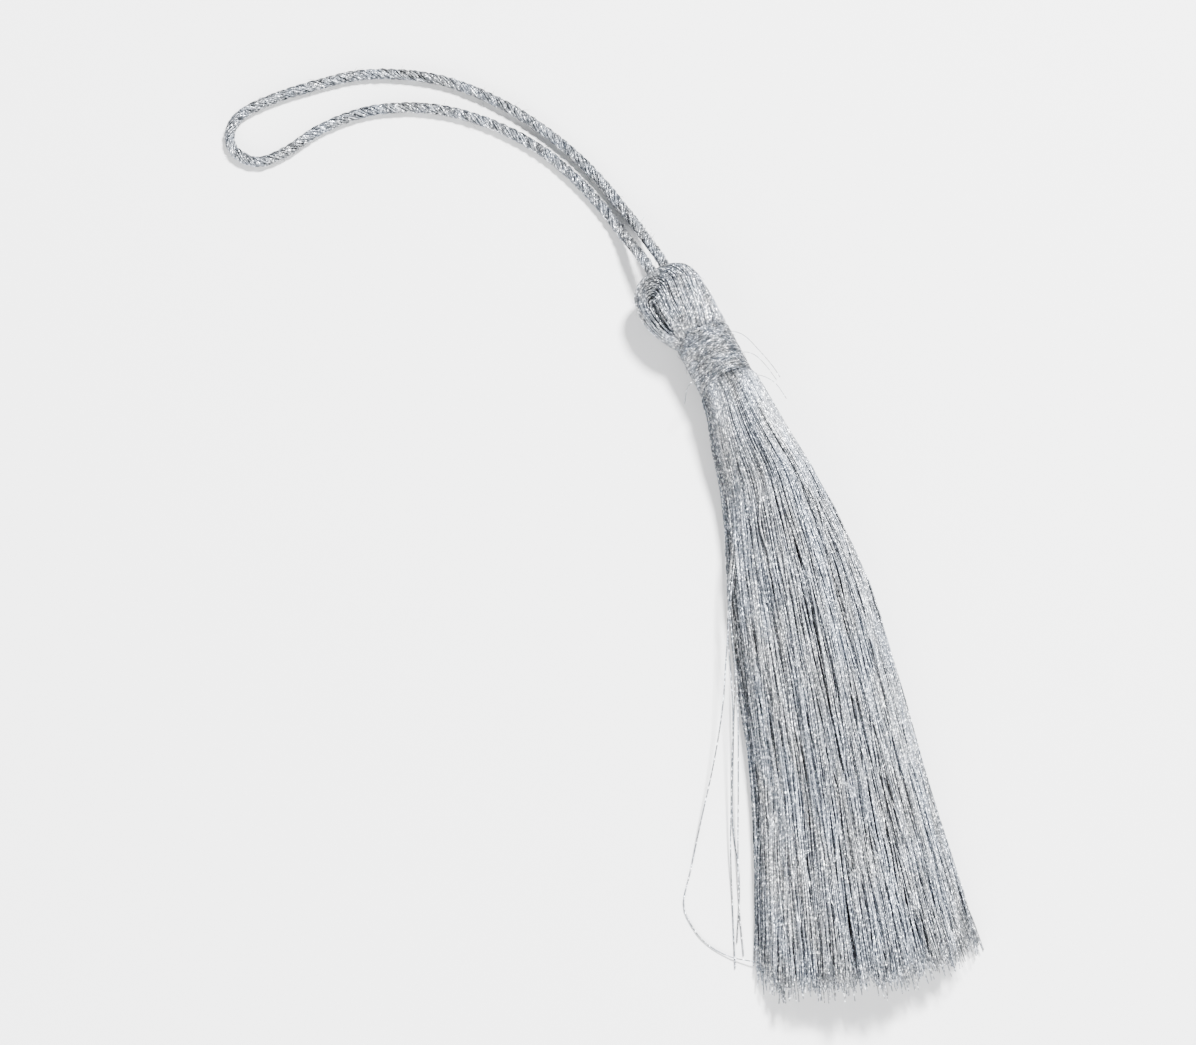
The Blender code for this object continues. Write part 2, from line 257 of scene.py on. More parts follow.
def column(table, number, at):
    """One column of a table, read at any places along its first column on a smooth curve."""
    knots, values = table[:, 0], table[:, number]
    steep = np.diff(values) / np.diff(knots)
    slope = np.concatenate((steep[:1], np.zeros(len(steep) - 1), steep[-1:]))
    turning = steep[:-1] * steep[1:] > 0.0
    both = steep[:-1] + steep[1:]
    slope[1:-1][turning] = 2.0 * (steep[:-1] * steep[1:])[turning] / both[turning]
    at = np.clip(at, knots[0], knots[-1])
    row = np.clip(np.searchsorted(knots, at, side="right") - 1, 0, len(knots) - 2)
    span = knots[row + 1] - knots[row]
    t = (at - knots[row]) / span
    before = (2.0 * t**3 - 3.0 * t**2 + 1.0) * values[row] + (t**3 - 2.0 * t**2 + t) * span * slope[row]
    after = (3.0 * t**2 - 2.0 * t**3) * values[row + 1] + (t**3 - t**2) * span * slope[row + 1]
    return before + after


def read_table(table, at):
    """Every column of a table after its first, read at any places along the first."""
    return [column(table, number, at) for number in range(1, table.shape[1])]


def smooth_route(points, count):
    """Evenly spaced points of the smooth curve through a route's own points."""
    ends = np.concatenate(([2.0 * points[0] - points[1]], points, [2.0 * points[-1] - points[-2]]))
    t = (np.arange(STEPS_IN_A_SPAN) / STEPS_IN_A_SPAN)[:, None]
    curve = []
    for a, b, c, d in zip(ends, ends[1:], ends[2:], ends[3:]):
        bend = 2.0 * a - 5.0 * b + 4.0 * c - d
        rest = 3.0 * (b - c) + d - a
        curve.append(b + ((c - a) * t + bend * t * t + rest * t * t * t) / 2.0)
    curve.append(points[-1:])
    return evenly(np.concatenate(curve)[None], count)[0]


def evenly(paths, count):
    """Each path with that many points, evenly spaced along it."""
    steps = np.linalg.norm(np.diff(paths, axis=1), axis=2)
    along = np.concatenate((np.zeros((len(paths), 1)), np.cumsum(steps, axis=1)), axis=1)
    spaced = np.empty((len(paths), count, 3))
    for path, place, target in zip(paths, along, spaced):
        wanted = np.linspace(0.0, place[-1], count)
        for axis in range(3):
            target[:, axis] = np.interp(wanted, place, path[:, axis])
    return spaced


def frames_along(paths):
    """Direction of each path at its points, and two directions square to it that don't spin."""
    steps = np.diff(paths, axis=1)
    steps /= np.linalg.norm(steps, axis=2, keepdims=True)
    ahead = np.concatenate((steps[:, :1], steps[:, :-1] + steps[:, 1:], steps[:, -1:]), axis=1)
    ahead /= np.linalg.norm(ahead, axis=2, keepdims=True)
    side = np.empty_like(ahead)
    start = np.cross(ahead[:, 0], ASKEW)
    side[:, 0] = start / np.linalg.norm(start, axis=1, keepdims=True)
    for ring in range(1, paths.shape[1]):
        kept = side[:, ring - 1]
        kept = kept - ahead[:, ring] * np.sum(kept * ahead[:, ring], axis=1, keepdims=True)
        side[:, ring] = kept / np.linalg.norm(kept, axis=1, keepdims=True)
    return ahead, side, np.cross(ahead, side)


def new_piece(name, points, faces, corner_uvs, tints, material):
    """A smooth mesh object from its points, its faces of any number of corners, and their UVs."""
    mesh = bpy.data.meshes.new(name)
    mesh.vertices.add(len(points))
    mesh.vertices.foreach_set("co", (points * MM).astype(np.float32).ravel())
    corners = np.concatenate([group.ravel() for group in faces])
    sizes = np.concatenate([np.full(len(group), group.shape[1]) for group in faces])
    mesh.loops.add(len(corners))
    mesh.loops.foreach_set("vertex_index", corners.astype(np.int32))
    mesh.polygons.add(len(sizes))
    starts = np.concatenate(([0], np.cumsum(sizes)[:-1]))
    mesh.polygons.foreach_set("loop_start", starts.astype(np.int32))
    mesh.polygons.foreach_set("loop_total", sizes.astype(np.int32))
    mesh.update(calc_edges=True)
    mesh.shade_smooth()
    layer = mesh.uv_layers.new(name="along_the_thread")
    layer.data.foreach_set("uv", corner_uvs.astype(np.float32).ravel())
    tint = mesh.attributes.new("tint", "FLOAT", "POINT")
    tint.data.foreach_set("value", tints.astype(np.float32).ravel())
    mesh.materials.append(material)
    piece = bpy.data.objects.new(name, mesh)
    bpy.context.scene.collection.objects.link(piece)
    return piece


def tube_walls(number):
    """Four-cornered faces of tubes, from the number of the point on each ring and side."""
    following = np.roll(number, -1, axis=-1)
    return np.stack((
        number[..., :-1, :], following[..., :-1, :], following[..., 1:, :], number[..., 1:, :]),
        axis=-1)


def wall_uvs(walls, round_it, step, along):
    """UVs of a tube's walls: how far round it, and how far along it, each corner is."""
    uvs = np.empty((*walls.shape, 2))
    uvs[..., 0, 0] = uvs[..., 3, 0] = round_it
    uvs[..., 1, 0] = uvs[..., 2, 0] = round_it + step
    uvs[..., 0, 1] = uvs[..., 1, 1] = along[..., :-1, None]
    uvs[..., 2, 1] = uvs[..., 3, 1] = along[..., 1:, None]
    return uvs.reshape(-1, 2)


def thread_piece(name, paths, radius, sides, chance, material):
    """One piece of many threads: a closed tube along each path."""
    threads, rings, _ = paths.shape
    _, side, up = frames_along(paths)
    angle = 2.0 * math.pi * np.arange(sides) / sides
    radius = np.broadcast_to(np.asarray(radius, float), (threads, rings))[:, :, None, None]
    outward = np.cos(angle)[:, None] * side[:, :, None] + np.sin(angle)[:, None] * up[:, :, None]
    points = paths[:, :, None] + radius * outward
    number = np.arange(threads * rings * sides).reshape(threads, rings, sides)
    walls = tube_walls(number)
    steps = np.linalg.norm(np.diff(paths, axis=1), axis=2)
    along = np.concatenate((np.zeros((threads, 1)), np.cumsum(steps, axis=1)), axis=1)
    along += chance.uniform(0.0, LONGEST_START, (threads, 1))
    share = np.arange(sides) / sides
    cap_uvs = np.empty((2, threads, sides, 2))
    cap_uvs[..., 0] = share
    cap_uvs[0, ..., 1] = along[:, :1]
    cap_uvs[1, ..., 1] = along[:, -1:]
    uvs = np.concatenate((wall_uvs(walls, share, 1.0 / sides, along), cap_uvs.reshape(-1, 2)))
    faces = (walls.reshape(-1, 4), number[:, 0, ::-1], number[:, -1])
    tints = np.repeat(chance.random(threads), rings * sides)
    return new_piece(name, points.reshape(-1, 3), faces, uvs, tints, material)


def wandering(chance, along, waves):
    """Slow waves that differ from thread to thread. Each wave has a length and a reach."""
    total = np.zeros_like(along)
    threads = len(along)
    for length, reach in waves:
        stretch = length * chance.uniform(0.7, 1.5, (threads, 1))
        turns = along / stretch + chance.random((threads, 1))
        total += reach * chance.normal(1.0, 0.35, (threads, 1)) * np.sin(2.0 * math.pi * turns)
    return total


def eased(x):
    """A smooth step: 0 up to x = 0, and 1 from x = 1."""
    x = np.clip(x, 0.0, 1.0)
    return x * x * (3.0 - 2.0 * x)


# --- Materials -----------------------------------------------------------------------------------

# A thread's finish: how bright it is, how rough, how large its patches of tone are in metres, and how
# much its spots of painted glint stand out.
Finish = namedtuple("Finish", "brightness roughness patch_size glitter")
CORD_FINISH = Finish(0.95, 0.34, (0.006, 0.006, 0.006), 0.3)
SKIRT_FINISH = Finish(1.08, 0.36, (0.004, 0.016, 0.004), 0.1)
HEAD_FINISH = Finish(1.04, 0.3, (0.003, 0.007, 0.003), 0.35)
BINDING_FINISH = Finish(1.02, 0.3, (0.003, 0.002, 0.003), 0.5)
# One turn of the metal strip round a thread, how deep its relief is, and how far across the spots of
# painted glint are, over two or three threads.
STRIP_TURN = 1.1
STRIP_RELIEF = 0.16
GLINT_SPOT_SIZE = 0.5
# How far apart the dashes of threads with unlike tints are in their pattern.
TINT_SPREAD = 91.7
# The dashes' painted glints and shade: where the thread's darker silver, painted as shade, ends and its
# silver, painted as glint, starts, and the places between with their share of the bright colour.
SHADE_END, BRIGHT_START = 0.52, 0.88
BETWEEN_SHADES = ((0.67, 0.07), (0.76, 0.18), (0.82, 0.45))
# The darkest and the brightest tone of a thread and of a patch.
THREAD_TONES = (0.45, 1.25)
PATCH_TONES = (0.84, 1.16)
COOL_CAST = (0.96, 0.99, 1.05, 1.0)
WARM_CAST = (1.03, 1.0, 0.97, 1.0)
# How much rougher the shade is and how much smoother the bright side, and how metallic both are.
SHADE_ROUGHER, BRIGHT_SMOOTHER = 0.14, 0.08
METALLIC = 0.85
# The stretches of noise and of brightness over which the tones, the casts and the roughness change.
TONE_STRETCH = (0.3, 0.7)
CAST_STRETCH = (0.38, 0.62)
ROUGHNESS_STRETCH = (0.55, 0.95)


class NodeTree:
    """Adds nodes to a material's tree, with their inputs set or linked by name or number."""

    def __init__(self, material):
        material.use_nodes = True
        self.tree = material.node_tree
        self.shader = self.tree.nodes["Principled BSDF"]

    def add(self, kind, inputs=None, **settings):
        """A new node of a kind, with its settings made before its inputs are filled."""
        node = self.tree.nodes.new(kind)
        for key, value in settings.items():
            setattr(node, key, value)
        for key, value in (inputs or {}).items():
            self.put(node.inputs[key], value)
        return node

    def put(self, socket, value):
        """Links another node's output to a socket, or sets a plain value on it."""
        if isinstance(value, bpy.types.NodeSocket):
            self.tree.links.new(value, socket)
        else:
            socket.default_value = value

    def work_out(self, operation, *values):
        """The output of a node that does sums with plain or linked values."""
        return self.add("ShaderNodeMath", dict(enumerate(values)), operation=operation).outputs[0]

    def spread(self, value, low, high, new_low=0.0, new_high=1.0):
        """The output of a node that spreads a value's range from low to high over a new one."""
        return self.add("ShaderNodeMapRange", {
            "Value": value, "From Min": low, "From Max": high,
            "To Min": new_low, "To Max": new_high}).outputs[0]

    def noise(self, place, scale, detail, roughness, other=None, **settings):
        """The output of a node with smooth noise about 0.5 at a place."""
        inputs = {"Vector": place, "Scale": scale, "Detail": detail, "Roughness": roughness}
        if other is not None:
            inputs["W"] = other
        return self.add("ShaderNodeTexNoise", inputs, **settings).outputs["Fac"]


def dashes(nodes, tint, dash_length):
    """How bright a place on a thread is, as painted glints in dashes that wind round it with its metal
    strip.
    """
    uv = nodes.add("ShaderNodeUVMap", uv_map="along_the_thread").outputs["UV"]
    round_it, along_it, _ = nodes.add("ShaderNodeSeparateXYZ", {0: uv}).outputs
    other = nodes.work_out("MULTIPLY", tint, TINT_SPREAD)
    run = nodes.work_out("MULTIPLY", along_it, MM / dash_length)
    twist = nodes.work_out("MULTIPLY_ADD", along_it, 1.0 / STRIP_TURN, round_it)
    turn = nodes.work_out("MULTIPLY", twist, 2.0 * math.pi)
    sine = nodes.work_out("SINE", turn)
    cosine = nodes.work_out("COSINE", turn)
    strip_place = nodes.add("ShaderNodeCombineXYZ", {"X": sine, "Y": run, "Z": cosine}).outputs[0]
    strip = nodes.noise(
        strip_place, scale=1.0, detail=2.0, roughness=0.6, other=other, noise_dimensions="4D")
    glint_place = nodes.add("ShaderNodeCombineXYZ", {"X": run, "Y": other}).outputs[0]
    glint = nodes.noise(
        glint_place, scale=1.0, detail=1.5, roughness=0.5, noise_dimensions="2D")
    return nodes.work_out("MULTIPLY_ADD", strip, 0.4, glint)


def tones_and_glints(nodes, tint, here, patch_place, glitter):
    """How bright a thread and its patch are, times painted glint that brightens some small patches and
    darkens others.
    """
    patch = nodes.noise(patch_place, scale=1.0, detail=3.0, roughness=0.55)
    thread_tone = nodes.spread(tint, 0.0, 1.0, *THREAD_TONES)
    patch_tone = nodes.spread(patch, *TONE_STRETCH, *PATCH_TONES)
    both = nodes.work_out("MULTIPLY", thread_tone, patch_tone)
    # Painted glint: small patches over two or three threads made brighter and darker together.
    glint_spot = nodes.noise(here, scale=1.0 / (GLINT_SPOT_SIZE * MM), detail=1.0, roughness=0.5)
    glint_spot_tone = nodes.spread(glint_spot, *TONE_STRETCH, 1.0 - glitter, 1.0 + glitter)
    return nodes.work_out("MULTIPLY", both, glint_spot_tone)


def thread_material(name, thread, finish):
    """Metallic thread: painted glints as bright dashes along each thread and in small patches, and
    threads and patches that differ.
    """
    material = bpy.data.materials.new(name)
    nodes = NodeTree(material)
    tint = nodes.add("ShaderNodeAttribute", attribute_name="tint").outputs["Fac"]
    glint_and_relief = dashes(nodes, tint, thread.dash_length)
    here = nodes.add("ShaderNodeTexCoord").outputs["Object"]
    patch_place = nodes.add(
        "ShaderNodeVectorMath", {0: here, 1: finish.patch_size}, operation="DIVIDE").outputs[0]
    tone_and_glint = tones_and_glints(nodes, tint, here, patch_place, finish.glitter)
    # The ramp paints glints and shade on the thread's silver: bright dashes as painted glints, the
    # darker silver between them as painted shade.
    silver = nodes.add("ShaderNodeValToRGB", {"Fac": glint_and_relief})
    ramp = silver.color_ramp.elements
    shade = Vector(thread.shade) * finish.brightness
    colour = Vector(thread.colour) * finish.brightness
    ramp[0].position, ramp[1].position = SHADE_END, BRIGHT_START
    ramp[0].color, ramp[1].color = (*shade, 1.0), (*colour, 1.0)
    for place, share in BETWEEN_SHADES:
        ramp.new(place).color = (*shade.lerp(colour, share), 1.0)
    toned = nodes.add("ShaderNodeVectorMath", {
        0: silver.outputs["Color"], "Scale": tone_and_glint}, operation="SCALE").outputs[0]
    warm_patch = nodes.noise(patch_place, scale=1.7, detail=2.0, roughness=0.6)
    warmth = nodes.spread(warm_patch, *CAST_STRETCH)
    cast = nodes.add("ShaderNodeMix", {0: warmth, 6: COOL_CAST, 7: WARM_CAST}, data_type="RGBA")
    warmed = nodes.add("ShaderNodeMix", {
        0: 1.0, 6: toned, 7: cast.outputs[2]}, data_type="RGBA", blend_type="MULTIPLY")
    roughness = nodes.spread(
        glint_and_relief, *ROUGHNESS_STRETCH, finish.roughness + SHADE_ROUGHER,
        finish.roughness - BRIGHT_SMOOTHER)
    bump = nodes.add("ShaderNodeBump", {
        "Height": glint_and_relief, "Strength": 1.0, "Distance": STRIP_RELIEF * MM})
    nodes.put(nodes.shader.inputs["Base Color"], warmed.outputs[2])
    nodes.put(nodes.shader.inputs["Roughness"], roughness)
    nodes.put(nodes.shader.inputs["Normal"], bump.outputs[0])
    nodes.put(nodes.shader.inputs["Metallic"], METALLIC)
    return material


# --- Skirt ---------------------------------------------------------------------------------------

# Rows of threads from the top of the skirt down, as places in the root's section from 1 to -1.
UPPER_ROWS = (1.0, 0.955, 0.9, 0.83)
INNER_ROWS = (0.75, 0.67, 0.59, 0.51, 0.43, 0.34, 0.25, 0.16, 0.07, -0.03, -0.13, -0.23)
LOWER_ROWS = (-0.33, -0.43, -0.53, -0.63, -0.73, -0.83, -0.93)
# Where a thread's first rings are below the root, so that it bends smoothly out of the binding.
SHOULDER_RINGS = (-4.0, -2.4, -2.0, -1.75, -1.45, -1.1, -0.6, 0.0, 0.8, 1.9, 3.3, 5.0)
HIDDEN_SHOULDER_RINGS = (-4.0, -1.75, -1.1, 0.8, 5.0)
# The skirt's bands: name, rows, first rings, rings and sides of a thread, and seed of its chances.
SKIRT_BANDS = (
    ("skirt_upper_threads", UPPER_ROWS, SHOULDER_RINGS, 56, 4, 1),
    ("skirt_inner_threads", INNER_ROWS, HIDDEN_SHOULDER_RINGS, 20, 3, 2),
    ("skirt_lower_threads", LOWER_ROWS, SHOULDER_RINGS, 28, 4, 3),
)
# Each thread's own waves, as length and reach, and how many rings a wave has at the least.
SIDEWAYS_WAVES = ((38.0, 0.16), (16.0, 0.07), (6.5, 0.025))
UPRIGHT_WAVES = ((30.0, 0.08), (9.0, 0.03))
FEWEST_RINGS_IN_A_WAVE = 3.5
# Waves that gather the threads in locks: how many across the skirt, how far each shifts from row
# to row and along the skirt, how strongly it gathers, and how deep its furrows are.
LOCK_WAVES = (
    (3.2, 0.45, 0.25, 0.28, 0.012),
    (6.3, 0.5, -0.8, 0.3, 0.012),
    (10.4, 0.6, 1.3, 0.3, 0.012),
    (15.7, 1.6, -1.9, 0.3, 0.015),
    (22.6, 2.8, 2.6, 0.32, 0.018),
    (33.5, 4.1, -3.1, 0.3, 0.02),
)
# How far apart the rows' locks are at the root, where further down it is 1, and how soon they part.
ROWS_AT_ROOT = 0.2
ROWS_PART = 2.5
# How the locks sway on their way down: evenly, and in a wave. After the wave's reach come its radians
# down the skirt, from one set of locks to the next, and across. LOCK_SHIFT parts the sets too.
EVEN_SWAY = 2.0
SWAY_REACH, SWAY_DOWN, SWAY_BY_LOCK, SWAY_ACROSS = 0.35, 6.0, 2.3, 2.0
LOCK_SHIFT = 1.9
# How strongly the locks gather at the shoulder, where further down it is 1, how soon they do, and the
# stretch from above the root in which they start to.
SHOULDER_GATHERING = 0.2
GATHERING_GROWTH = 1.8
GATHERED_ABOVE, GATHERING_STRETCH = 1.8, 3.0
# How far the fan lies off the surface, and how far out a thread still follows the section.
FAN_LIFT = 0.1
WIDEST = 1.05
# Waves that space the tufts of the cut end unevenly, as reach and as radians for each step in u and
# in v, and how far the tufts themselves shift from row to row.
TUFT_WAVES = ((1.4, 4.3, 2.0), (0.9, 11.0, -3.0))
TUFT_ROW_SHIFT = 5.3
# The cut end: how far it slants up at the left and at the right, how much longer the top row is, how
# far each tuft and each thread differs in length, how pointed a tuft is, how much shorter and longer
# a few threads are, and the most that a thread may be shorter or longer.
LEFT_SLANT, RIGHT_SLANT = 3.2, 3.6
LONGER_ON_TOP = 1.3
TUFT_UNEVENNESS, THREAD_UNEVENNESS = 0.7, 0.25
TUFT_POINT = 0.55
A_FEW_SHORTER, A_FEW_LONGER = 1.8, 2.4
SHORTEST, LONGEST = -2.6, 2.2
# How far a thread is from the middle of its column, in half columns, and from the middle of its row.
OFF_COLUMN, OFF_ROW = 0.75, 0.02
# How the rings crowd towards the cut end.
RING_SPACING = 0.9
# How far below the root the threads are loose, and how much deeper each of three neighbours lies than
# the one before until then.
LOOSE_BELOW = 22.0
TIGHT_STEP = 0.05
# The stretch above the cut end in which the threads fray, how far they gather in tufts there, and
# how far they stray and droop.
FRAYED_STRETCH = 9.0
TUFT_GATHERING = 0.92
FRAY_REACH = 0.2
TOP_DROOP, UNEVEN_DROOP = 0.15, 0.09
# Threads that wander more than others, and top ones that cross their neighbours: their share of all,
# how far they go, and how high a crossing one lies on the others at the most.
WILD_SHARE, WILD_REACH = 0.09, 2.6
CROSSING_SHARE, CROSSING_REACH, CROSSING_RISE = 0.07, 1.3, 0.2
# The place in the root's section above which threads cross, and how far below the root they have.
TOP_ROWS = 0.8
ACROSS_BELOW = 60.0
# How close a thread comes to the surface, in radiuses, and how softly it does.
LOWEST_PLACE = 1.08
SOFT_LANDING = 0.15
# The thinnest and the thickest of the skirt's threads, as shares of a thread's thickness, and the
# share of it that each still has at its cut end.
THREAD_SIZES = (0.85, 1.15)
CUT_END_SIZE = 0.7
# Rings of the long stray threads and of the neck's fibre ends, how thick they are as shares of a
# thread's thickness, and their seed.
STRAY_RINGS, STRAY_THICKNESS = 60, 0.9
FLYAWAY_RINGS, FLYAWAY_THICKNESS = 20, 0.55
STRAY_SEED = 4


def lock_waves(u, v, along):
    """How far the locks shift a thread sideways, and how much the locks and furrows sink it."""
    shift = np.zeros(np.broadcast(u, v, along).shape)
    sinking = np.zeros_like(shift)
    rows_apart = (v - 1.0) * (ROWS_AT_ROOT + (1.0 - ROWS_AT_ROOT) * eased(ROWS_PART * along))
    for number, (count, by_height, drift, strength, depth) in enumerate(LOCK_WAVES):
        bend = np.sin(SWAY_DOWN * along + SWAY_BY_LOCK * number + SWAY_ACROSS * u)
        sway = drift * (EVEN_SWAY * along + SWAY_REACH * bend)
        wave = math.pi * (count * u + by_height * rows_apart + sway) + LOCK_SHIFT * number
        shift += strength * np.sin(wave) / (math.pi * count)
        sinking += depth * np.cos(wave)
    return shift * (1.0 - u**4), sinking


def skirt_points(u, v, below, clumping):
    """Where the thread at (u, v) of the root's section passes, that far below the root."""
    middle, half_width, height, fanned = read_table(SKIRT_TABLE, below)
    along = np.clip(below / SKIRT_LENGTH, 0.0, 1.1)
    growth = (1.0 - SHOULDER_GATHERING) * eased(along * GATHERING_GROWTH)
    start = eased((below + GATHERED_ABOVE) / GATHERING_STRETCH)
    gathered = clumping * (SHOULDER_GATHERING + growth) * start
    shift, sinking = lock_waves(u, v, along)
    u = u + shift * gathered
    up_share = (v + 1.0) / 2.0
    round_width = np.sqrt(1.0 - CORNER_PULL * v * v)
    fan_width = 1.0 - SIDE_LEAN * up_share**2
    across = half_width * u * (round_width + (fan_width - round_width) * fanned)
    bounded = np.clip(u, -WIDEST, WIDEST)
    sunk = 1.0 - gathered * sinking
    round_rise = height / 2.0 * v * np.sqrt(1.0 - CORNER_PULL * bounded**2) * sunk
    floor_middle = NECK[2] + (FAN_LIFT + height / 2.0 - NECK[2]) * eased(below + 1.0)
    fan_height = height * up_share * (1.0 - SIDE_DROP * bounded**2) * sunk
    z = (floor_middle + round_rise) * (1.0 - fanned) + fan_height * fanned
    lean = HEAD_LEAN * (1.0 - eased(fanned))
    above = np.minimum(below, 0.0)
    root_y = NECK[1] - UP_THE_HEAD[1] * (ROOT_BELOW_NECK + above)
    y = root_y - np.maximum(below, 0.0) + across * np.sin(lean)
    return np.stack(np.broadcast_arrays(middle + across * np.cos(lean), y, z), axis=-1)


def tuft_wave(u, v, tufts):
    """The wave that gathers the cut ends: its whole turns are the middles of the tufts."""
    half_turns = tufts * u
    for reach, across, by_row in TUFT_WAVES:
        half_turns = half_turns + reach * np.sin(across * u + by_row * v)
    return math.pi * (half_turns + TUFT_ROW_SHIFT * v)


def cut_length(u, v, tufts, fraying, chance):
    """How far below the root each thread is cut: the end slants up at both sides and is uneven."""
    short = LEFT_SLANT * np.maximum(-u, 0.0) ** 1.6 + RIGHT_SLANT * np.maximum(u, 0.0) ** 2
    wave = tuft_wave(u, v, tufts)
    tuft = np.round(wave / (2.0 * math.pi)).astype(int)
    tuft_length = chance.normal(0.0, TUFT_UNEVENNESS, 4 * tufts)[tuft % (4 * tufts)]
    point = TUFT_POINT * (np.cos(wave) - 1.0)
    uneven = tuft_length + point + chance.normal(0.0, THREAD_UNEVENNESS, u.shape)
    uneven -= A_FEW_SHORTER * chance.random(u.shape) ** 8
    uneven += A_FEW_LONGER * chance.random(u.shape) ** 7
    return SKIRT_LENGTH + LONGER_ON_TOP * v - short + fraying * np.clip(uneven, SHORTEST, LONGEST)


def skirt_threads(rows, settings, chance, first_rings, rings):
    """Paths of one band of the skirt's threads, from inside the binding to the cut end."""
    columns = settings.columns
    column_middles = (np.arange(columns) + 0.5) / columns * 2.0 - 1.0
    v, u = np.meshgrid(rows, column_middles, indexing="ij")
    u = (u + chance.uniform(-OFF_COLUMN, OFF_COLUMN, u.shape) / columns).ravel()[:, None]
    v = (v + chance.uniform(-OFF_ROW, OFF_ROW, v.shape)).ravel()[:, None]
    end = cut_length(u, v, settings.tufts, settings.fraying, chance)
    share = np.linspace(0.0, 1.0, rings - len(first_rings) + 1)[None, 1:] ** RING_SPACING
    last = first_rings[-1]
    shoulder = np.broadcast_to(first_rings, (len(u), len(first_rings)))
    below = np.concatenate((shoulder, last + (end - last) * share), axis=1)
    loose = eased((below + 1.0) / LOOSE_BELOW)
    deeper = TIGHT_STEP * (np.arange(len(u)) % 3)[:, None] * (1.0 - loose)
    fray = eased((below - end + FRAYED_STRETCH) / FRAYED_STRETCH)
    gather = TUFT_GATHERING * fray * np.sin(tuft_wave(u, v, settings.tufts))
    v_there = np.clip(v - deeper * np.sign(v), -1.0, 1.0)
    paths = skirt_points(u - gather / (math.pi * settings.tufts), v_there, below, settings.clumping)
    inner = 1.0 - u**4
    wild = 1.0 + WILD_REACH * inner * (chance.random(u.shape) > 1.0 - WILD_SHARE)
    shortest_wave = FEWEST_RINGS_IN_A_WAVE * (SKIRT_LENGTH - last) / (rings - len(first_rings))
    sideways, up_and_down = (
        [wave for wave in waves if wave[0] > shortest_wave]
        for waves in (SIDEWAYS_WAVES, UPRIGHT_WAVES))
    paths[..., 0] += loose * wild * wandering(chance, below, sideways)
    paths[..., 2] += loose * wandering(chance, below, up_and_down)
    crossing = chance.normal(0.0, CROSSING_REACH, u.shape)
    crossing *= (chance.random(u.shape) > 1.0 - CROSSING_SHARE) * (v > TOP_ROWS)
    paths[..., 0] += crossing * inner * eased(below / ACROSS_BELOW)
    paths[..., 2] += np.minimum(np.abs(crossing), CROSSING_RISE) * loose
    paths[..., 0] += fray**3 * chance.normal(0.0, FRAY_REACH, u.shape)
    droop = TOP_DROOP * np.maximum(v, 0.0) + np.abs(chance.normal(0.0, UNEVEN_DROOP, u.shape))
    paths[..., 2] -= fray**3 * droop
    return paths


def rest_on_surface(paths, radius):
    """Keeps every point of the paths above the surface by a little more than the radius."""
    low = radius * LOWEST_PLACE
    z = paths[..., 2]
    landing = low + SOFT_LANDING * np.exp(np.minimum((z - low - SOFT_LANDING) / SOFT_LANDING, 0.0))
    paths[..., 2] = np.where(z < low + SOFT_LANDING, landing, z)
    return paths


# --- Head ----------------------------------------------------------------------------------------

# The head's seed, how deep each layer of its folded threads lies, where along the head they start, how
# many rings a folded thread has, and how many points each leg is first worked out with.
HEAD_SEED = 5
HEAD_LAYERS = (0.09, 0.22, 0.37, 0.54)
LOOPS_START = 1.5
LOOP_RINGS = 58
LEG_POINTS = 90
# Half the head's width, by which a deeper layer's section is smaller.
HALF_HEAD = 4.0
# How far the fold turns for each millimetre along the head, from the place where it isn't turned,
# and the stretch in which it turns.
FOLD_TWIST = math.radians(3.0)
UNTURNED_PLACE = 6.7
TURNED_STRETCH = (3.0, 10.0)
# Each folded thread's own waves along and across the fold, as length and reach, and the length that
# they are counted over.
ACROSS_FOLD_WAVES = ((9.0, 0.012), (4.0, 0.006))
ALONG_FOLD_WAVES = ((10.0, 0.014), (3.5, 0.007))
LOOP_LENGTH = 24.0
# Where along the head the folded threads start to wander, and the stretch until they do so fully.
FREE_FROM, FREEING_STRETCH = 3.4, 3.0
# How far a folded thread is from its even place, in spaces between threads.
OFF_PLACE = 0.3
# Dark gaps between bundles of the folded threads: their share of the way round, and their width. Then
# where they start to open and over which stretch, and how far they close again on the crown.
FOLD_GAPS = (
    (0.0, 0.024), (0.03, 0.02), (0.062, 0.018), (0.12, 0.012), (0.24, 0.008), (0.41, 0.007),
    (0.6, 0.006))
GAP_SLOPE = 0.008
GAPS_START, GAPS_STRETCH = 3.2, 2.4
GAPS_CLOSE = 0.7
# How wide the crown's threads part for a leg of the cord, where along the head they start to, and
# over which stretch they do.
PARTED_FOR_CORD = 0.72
PARTED_FROM, PARTING_STRETCH = 10.3, 1.2
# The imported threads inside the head: how many show round it, their share of the head's width, how
# far each stands out, and how far its tone is from its neighbour's.
CORE_RIBS = 110
CORE_SHARE = 0.8
CORE_RIB_HEIGHT = 0.022
CORE_TONE_STEP = 0.618
# Their body: where it starts along the head, how far its dome lies under the crown, how wide the
# dome's flat top is, and how many rings the straight part has, as many as the dome.
CORE_START = 1.2
CORE_DEPTH = 1.5
CORE_TOP = 0.12
CORE_RINGS = 12


def head_point(x1, x2, along, turn):
    """A place of the head: x1 and x2 in its unit section, x1 to the fold's open side."""
    sine, cosine = np.sin(turn), np.cos(turn)
    across = x1 * cosine + x2 * sine
    up = x1 * sine - x2 * cosine
    aside, half_width, half_height, middle = read_table(HEAD_TABLE, along)
    point = NECK + UP_THE_HEAD * along[..., None]
    point = point + ACROSS_THE_HEAD * (aside + half_width * across)[..., None]
    point[..., 2] = middle + half_height * up
    return point


def dome_height(out, depth):
    """How far the dome of a layer rises, that far out from its middle as a share of its width."""
    return (DOME_RISE - depth) * (1.0 - out**DOME_SQUARENESS) ** DOME_BEND


def fold_angle(share, opening):
    """How far from the fold's open side a thread lies, with the gaps opened between bundles."""
    angle = share * (1.0 - sum(width for _, width in FOLD_GAPS) * opening)
    for at, width in FOLD_GAPS:
        angle = angle + width * opening * eased((share - at) / GAP_SLOPE + 1.0)
    return math.pi * angle


